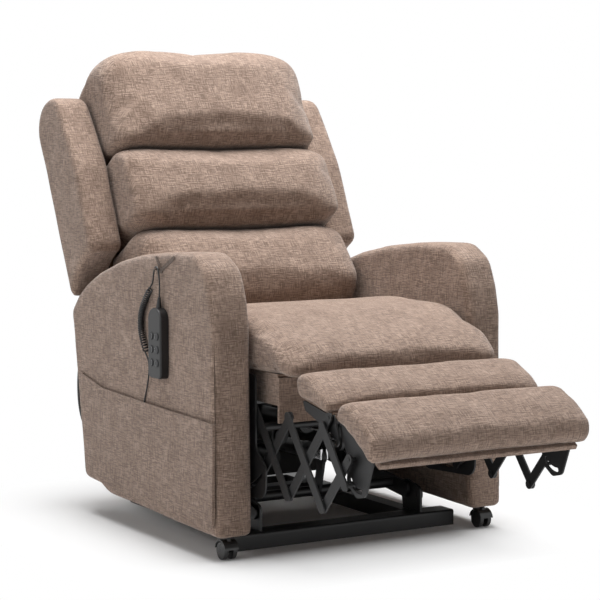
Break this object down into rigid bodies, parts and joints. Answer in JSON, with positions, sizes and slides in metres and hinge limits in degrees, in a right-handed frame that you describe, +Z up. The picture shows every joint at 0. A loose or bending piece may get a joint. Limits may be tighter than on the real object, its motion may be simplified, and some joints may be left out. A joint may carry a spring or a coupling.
{
  "type": "lift recliner chair",
  "caption": "Upholstered powered lift recliner: reclining back, scissor-link legrest with footrest, lifting floor frame, wired handset and front casters.",
  "frame": {"origin": "on the floor, under the middle of the floor frame, halfway between the arms", "axes": "+Z up, +Y towards the back of the chair, +X towards the sitter's left; the chair faces -Y"},
  "size_m": [0.7828, 1.4204, 1.1253],
  "materials": {
    "upholstery": "mottled beige-brown woven chenille",
    "frame_steel": "dark grey powder coat",
    "link_steel": "zinc-plated pressed steel",
    "rod_steel": "polished rod",
    "timber": "plain birch ply and softwood",
    "motor_plastic": "black moulded plastic",
    "handset_plastic": "black moulded plastic",
    "button_rubber": "pale grey soft key",
    "cord_jacket": "black cord jacket",
    "caster_plastic": "black nylon"
  },
  "bodies": {
    "floor_frame": {"floor_frame": "frame_steel", "lift_actuator": "motor_plastic"},
    "lift_arms": {"lift_arms": "frame_steel", "lift_cross_tube": "frame_steel"},
    "front_lift_links": {"front_lift_links": "frame_steel"},
    "lift_rod": {"lift_rod": "rod_steel"},
    "chair": {"lift_hangers": "frame_steel", "side_seat_rails": "timber", "cross_seat_rails": "timber", "seat_board": "timber", "seat_apron": "upholstery", "control_box": "motor_plastic", "seat_cushion": "upholstery", "side_plates": "link_steel", "mechanism_spacers": "link_steel", "left_arm": "upholstery", "right_arm": "upholstery", "side_pocket": "upholstery", "rear_panel": "upholstery", "legrest_actuator": "motor_plastic", "back_actuator": "motor_plastic", "actuator_mounts": "frame_steel", "handset_case": "handset_plastic", "curly_cord": "cord_jacket", "cord_leads": "cord_jacket", "cord_tie": "upholstery", "rear_lead": "cord_jacket"},
    "back": {"back_wings": "upholstery", "back_panel": "upholstery", "back_frame": "timber", "back_brackets": "frame_steel", "back_drive_tube": "frame_steel", "head_cushion": "upholstery", "mid_cushion": "upholstery", "lumbar_cushion": "upholstery"},
    "back_rod": {"back_rod": "rod_steel"},
    "legrest_rod": {"legrest_rod": "rod_steel"},
    "rear_drop_links": {"rear_drop_links": "link_steel", "legrest_drive_tube": "frame_steel"},
    "rear_rise_links": {"rear_rise_links": "link_steel"},
    "middle_rise_links": {"middle_rise_links": "link_steel"},
    "middle_drop_links": {"middle_drop_links": "link_steel"},
    "front_rise_links": {"front_rise_links": "link_steel"},
    "front_drop_links": {"front_drop_links": "link_steel"},
    "bridge": {"bridge_board": "timber", "bridge_pad": "upholstery", "bridge_brackets": "link_steel"},
    "footrest": {"footrest_board": "timber", "footrest_pad": "upholstery", "footrest_brackets": "link_steel"},
    "left_caster_hood": {"left_caster_hood": "caster_plastic"},
    "left_caster_wheels": {"left_caster_wheels": "caster_plastic"},
    "right_caster_hood": {"right_caster_hood": "caster_plastic"},
    "right_caster_wheels": {"right_caster_wheels": "caster_plastic"},
    "button_up_left": {"button_up_left": "button_rubber"},
    "button_up_right": {"button_up_right": "button_rubber"},
    "button_middle_left": {"button_middle_left": "button_rubber"},
    "button_middle_right": {"button_middle_right": "button_rubber"},
    "button_down_left": {"button_down_left": "button_rubber"},
    "button_down_right": {"button_down_right": "button_rubber"}
  },
  "joints": [
    {"name": "lift", "type": "hinge", "parent": "floor_frame", "child": "lift_arms", "pos_m": [0, -0.2395, 0.0842], "axis": [1, 0, 0], "range_deg": [0, 42]},
    {"name": "front_lift_link_turn", "type": "hinge", "parent": "floor_frame", "child": "front_lift_links", "pos_m": [0, -0.2748, 0.075], "axis": [1, 0, 0], "range_deg": [-0.2, 50.2]},
    {"name": "chair_tilt", "type": "hinge", "parent": "lift_arms", "child": "chair", "pos_m": [0, 0.1501, 0.13], "axis": [1, 0, 0], "range_deg": [-15.3, 0.2]},
    {"name": "lift_rod_travel", "type": "slide", "parent": "floor_frame", "child": "lift_rod", "axis": [0, -1, 0], "range_m": [-0.0002, 0.0718]},
    {"name": "back_recline", "type": "hinge", "parent": "chair", "child": "back", "pos_m": [0, 0.13, 0.4], "axis": [-1, 0, 0], "range_deg": [-12, 33]},
    {"name": "back_rod_travel", "type": "slide", "parent": "chair", "child": "back_rod", "axis": [0, -1, 0], "range_m": [-0.0219, 0.0597]},
    {"name": "legrest", "type": "hinge", "parent": "chair", "child": "rear_drop_links", "pos_m": [0, -0.3697, 0.327], "axis": [-1, 0, 0], "range_deg": [-62.9, 25.2]},
    {"name": "legrest_rod_travel", "type": "slide", "parent": "chair", "child": "legrest_rod", "axis": [0, -1, 0], "range_m": [-0.0821, 0.0331]},
    {"name": "rear_rise_turn", "type": "hinge", "parent": "rear_drop_links", "child": "rear_rise_links", "pos_m": [0, -0.43811, 0.24099], "axis": [-1, 0, 0], "range_deg": [-17.9, 44.5]},
    {"name": "middle_rise_turn", "type": "hinge", "parent": "rear_drop_links", "child": "middle_rise_links", "pos_m": [0, -0.50653, 0.15498], "axis": [-1, 0, 0], "range_deg": [-17.9, 44.5]},
    {"name": "middle_drop_turn", "type": "hinge", "parent": "middle_rise_links", "child": "middle_drop_links", "pos_m": [0, -0.57732, 0.23905], "axis": [-1, 0, 0], "range_deg": [-44.5, 17.9]},
    {"name": "front_rise_turn", "type": "hinge", "parent": "middle_drop_links", "child": "front_rise_links", "pos_m": [0, -0.64573, 0.15304], "axis": [-1, 0, 0], "range_deg": [-17.9, 44.5]},
    {"name": "front_drop_turn", "type": "hinge", "parent": "middle_rise_links", "child": "front_drop_links", "pos_m": [0, -0.64811, 0.32311], "axis": [-1, 0, 0], "range_deg": [-44.5, 17.9]},
    {"name": "bridge_turn", "type": "hinge", "parent": "middle_rise_links", "child": "bridge", "pos_m": [0, -0.66537, 0.34361], "axis": [-1, 0, 0], "range_deg": [-44.5, 17.9]},
    {"name": "footrest_turn", "type": "hinge", "parent": "front_rise_links", "child": "footrest", "pos_m": [0, -0.74299, 0.26854], "axis": [-1, 0, 0], "range_deg": [-44.5, 17.9]},
    {"name": "left_caster_swivel", "type": "hinge", "parent": "chair", "child": "left_caster_hood", "pos_m": [0.34, -0.353, 0.045], "axis": [0, 0, 1], "continuous": true},
    {"name": "left_caster_spin", "type": "hinge", "parent": "left_caster_hood", "child": "left_caster_wheels", "pos_m": [0.34, -0.365, 0.02], "axis": [1, 0, 0], "continuous": true},
    {"name": "right_caster_swivel", "type": "hinge", "parent": "chair", "child": "right_caster_hood", "pos_m": [-0.34, -0.353, 0.045], "axis": [0, 0, 1], "continuous": true},
    {"name": "right_caster_spin", "type": "hinge", "parent": "right_caster_hood", "child": "right_caster_wheels", "pos_m": [-0.34, -0.365, 0.02], "axis": [1, 0, 0], "continuous": true},
    {"name": "press_up_left", "type": "slide", "parent": "chair", "child": "button_up_left", "axis": [1, 0, 0], "range_m": [0, 0.0012], "stiffness_N_per_m": 1500, "springref_m": -0.0004},
    {"name": "press_up_right", "type": "slide", "parent": "chair", "child": "button_up_right", "axis": [1, 0, 0], "range_m": [0, 0.0012], "stiffness_N_per_m": 1500, "springref_m": -0.0004},
    {"name": "press_middle_left", "type": "slide", "parent": "chair", "child": "button_middle_left", "axis": [1, 0, 0], "range_m": [0, 0.0012], "stiffness_N_per_m": 1500, "springref_m": -0.0004},
    {"name": "press_middle_right", "type": "slide", "parent": "chair", "child": "button_middle_right", "axis": [1, 0, 0], "range_m": [0, 0.0012], "stiffness_N_per_m": 1500, "springref_m": -0.0004},
    {"name": "press_down_left", "type": "slide", "parent": "chair", "child": "button_down_left", "axis": [1, 0, 0], "range_m": [0, 0.0012], "stiffness_N_per_m": 1500, "springref_m": -0.0004},
    {"name": "press_down_right", "type": "slide", "parent": "chair", "child": "button_down_right", "axis": [1, 0, 0], "range_m": [0, 0.0012], "stiffness_N_per_m": 1500, "springref_m": -0.0004}
  ],
  "couplings": [
    {"joint": "front_lift_link_turn", "follows": "lift", "ratio": 1.187},
    {"joint": "chair_tilt", "follows": "lift", "ratio": -0.358},
    {"joint": "lift_rod_travel", "follows": "lift", "m_per_rad": 0.097403},
    {"joint": "back_rod_travel", "follows": "back_recline", "m_per_rad": 0.10313},
    {"joint": "legrest_rod_travel", "follows": "legrest", "m_per_rad": 0.074484},
    {"joint": "rear_rise_turn", "follows": "legrest", "ratio": -0.7044},
    {"joint": "middle_rise_turn", "follows": "legrest", "ratio": -0.7044},
    {"joint": "middle_drop_turn", "follows": "legrest", "ratio": 0.7044},
    {"joint": "front_rise_turn", "follows": "legrest", "ratio": -0.7044},
    {"joint": "front_drop_turn", "follows": "legrest", "ratio": 0.7044},
    {"joint": "bridge_turn", "follows": "legrest", "ratio": 0.7044},
    {"joint": "footrest_turn", "follows": "legrest", "ratio": 0.7044}
  ]
}
